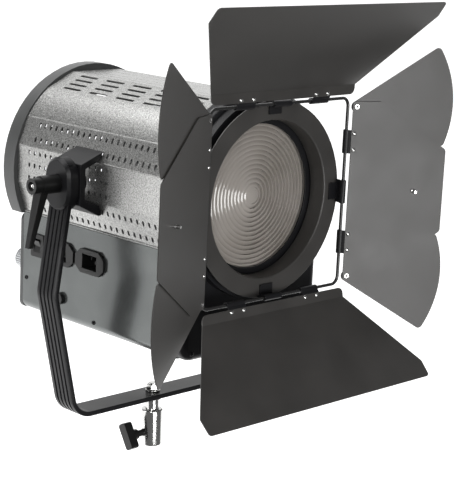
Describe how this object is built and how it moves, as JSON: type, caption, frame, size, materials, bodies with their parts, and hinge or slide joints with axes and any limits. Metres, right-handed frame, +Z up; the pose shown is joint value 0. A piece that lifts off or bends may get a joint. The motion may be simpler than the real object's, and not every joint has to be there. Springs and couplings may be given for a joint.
{
  "type": "fresnel spotlight",
  "caption": "Studio fresnel spotlight: ribbed tilting yoke with a stand receiver, vented barrel over a driver box, stepped lens and folding barn doors.",
  "frame": {"origin": "centre of the stand receiver's mouth", "axes": "+Z up along the receiver, the light faces -Y, the tilt axis runs along X"},
  "size_m": [0.4272, 0.4133, 0.5261],
  "materials": {
    "black_paint": "satin black powder coat",
    "black_plastic": "satin black moulding",
    "door_paint": "fine satin charcoal powder coat",
    "shell_paint": "silver grey hammertone",
    "grey_paint": "satin mid grey",
    "box_paint": "semi-gloss grey",
    "bright_steel": "bright plate",
    "plain_aluminium": "brushed",
    "lens_glass": "clear moulded rings",
    "led_yellow": "phosphor yellow"
  },
  "bodies": {
    "yoke_frame": {"yoke": "black_paint", "stand_receiver": "bright_steel", "receiver_washer": "bright_steel", "receiver_nut": "bright_steel", "left_arm_cap": "black_paint", "right_arm_cap": "black_paint", "right_pivot_bolt": "black_paint"},
    "receiver_lock": {"receiver_t_knob": "black_plastic"},
    "tilt_clamp": {"tilt_lever": "black_plastic", "tilt_lever_stud": "bright_steel"},
    "head": {"left_tilt_bracket": "black_paint", "right_tilt_bracket": "black_paint", "top_cover": "shell_paint", "left_side_panel": "shell_paint", "right_side_panel": "shell_paint", "front_casting": "black_paint", "fresnel_lens": "lens_glass", "lens_retainer": "black_paint", "driver_box": "box_paint", "power_inlet": "black_plastic", "power_outlet": "black_plastic", "fuse_holder": "black_plastic", "rocker_bezel": "black_plastic", "rear_cap": "grey_paint", "rear_panel": "grey_paint", "left_rail": "bright_steel", "right_rail": "bright_steel", "driver_supply": "plain_aluminium"},
    "power_switch": {"power_rocker": "black_plastic"},
    "dimmer": {"dimmer_knob": "plain_aluminium"},
    "focus": {"focus_knob": "black_plastic"},
    "carriage": {"carriage_plate": "plain_aluminium", "heat_sink": "plain_aluminium", "led_module": "led_yellow"},
    "barn_frame": {"barn_ring": "door_paint", "wire_frame": "black_paint", "strap_top": "black_paint", "strap_right": "black_paint", "strap_bottom": "black_paint", "strap_left": "black_paint"},
    "top_leaf": {"door_top": "door_paint"},
    "bottom_leaf": {"door_bottom": "door_paint"},
    "left_leaf": {"door_left": "door_paint"},
    "right_leaf": {"door_right": "door_paint"},
    "left_upper_ear": {"ear_left_upper": "door_paint"},
    "left_lower_ear": {"ear_left_lower": "door_paint"},
    "right_upper_ear": {"ear_right_upper": "door_paint"},
    "right_lower_ear": {"ear_right_lower": "door_paint"}
  },
  "joints": [
    {"name": "tilt", "type": "hinge", "parent": "yoke_frame", "child": "head", "pos_m": [0, 0, 0.32], "axis": [1, 0, 0], "range_deg": [-90, 35]},
    {"name": "tilt_lever_turn", "type": "hinge", "parent": "yoke_frame", "child": "tilt_clamp", "pos_m": [-0.165, 0, 0.32], "axis": [-1, 0, 0], "range_deg": [-180, 180]},
    {"name": "receiver_lock_turn", "type": "hinge", "parent": "yoke_frame", "child": "receiver_lock", "pos_m": [-0.03, 0, 0.016], "axis": [-1, 0, 0], "continuous": true},
    {"name": "switch_rock", "type": "hinge", "parent": "head", "child": "power_switch", "pos_m": [-0.095, 0.092, 0.229], "axis": [0, 1, 0], "range_deg": [0, 14]},
    {"name": "dimmer_turn", "type": "hinge", "parent": "head", "child": "dimmer", "pos_m": [-0.079, 0.135, 0.203], "axis": [0, -1, 0], "range_deg": [0, 270]},
    {"name": "focus_turn", "type": "hinge", "parent": "head", "child": "focus", "pos_m": [0, 0.135, 0.209], "axis": [0, 1, 0], "range_deg": [-1629, 1089]},
    {"name": "carriage_slide", "type": "slide", "parent": "head", "child": "carriage", "axis": [0, 1, 0], "range_m": [-0.09, 0.06]},
    {"name": "barn_turn", "type": "hinge", "parent": "head", "child": "barn_frame", "pos_m": [0, -0.18, 0.317], "axis": [0, -1, 0], "continuous": true},
    {"name": "top_leaf_hinge", "type": "hinge", "parent": "barn_frame", "child": "top_leaf", "pos_m": [0, -0.18, 0.419], "axis": [1, 0, 0], "range_deg": [-30, 50]},
    {"name": "bottom_leaf_hinge", "type": "hinge", "parent": "barn_frame", "child": "bottom_leaf", "pos_m": [0, -0.18, 0.215], "axis": [-1, 0, 0], "range_deg": [-38, 42]},
    {"name": "left_leaf_hinge", "type": "hinge", "parent": "barn_frame", "child": "left_leaf", "pos_m": [-0.102, -0.18, 0.317], "axis": [0, 0, 1], "range_deg": [-18, 62]},
    {"name": "right_leaf_hinge", "type": "hinge", "parent": "barn_frame", "child": "right_leaf", "pos_m": [0.102, -0.18, 0.317], "axis": [0, 0, -1], "range_deg": [-20, 60]},
    {"name": "right_upper_ear_turn", "type": "hinge", "parent": "right_leaf", "child": "right_upper_ear", "pos_m": [0.10876, -0.18675, 0.41], "axis": [0.4289, 0.9033, 0], "range_deg": [-8, 30]},
    {"name": "right_lower_ear_turn", "type": "hinge", "parent": "right_leaf", "child": "right_lower_ear", "pos_m": [0.10876, -0.18675, 0.224], "axis": [-0.4289, -0.9033, 0], "range_deg": [-8, 30]},
    {"name": "left_upper_ear_turn", "type": "hinge", "parent": "left_leaf", "child": "left_upper_ear", "pos_m": [-0.10903, -0.18646, 0.41], "axis": [0.3907, -0.9205, 0], "range_deg": [-8, 30]},
    {"name": "left_lower_ear_turn", "type": "hinge", "parent": "left_leaf", "child": "left_lower_ear", "pos_m": [-0.10903, -0.18646, 0.224], "axis": [-0.3907, 0.9205, 0], "range_deg": [-8, 30]}
  ],
  "couplings": [
    {"joint": "focus_turn", "follows": "carriage_slide", "rad_per_m": 314.16}
  ]
}
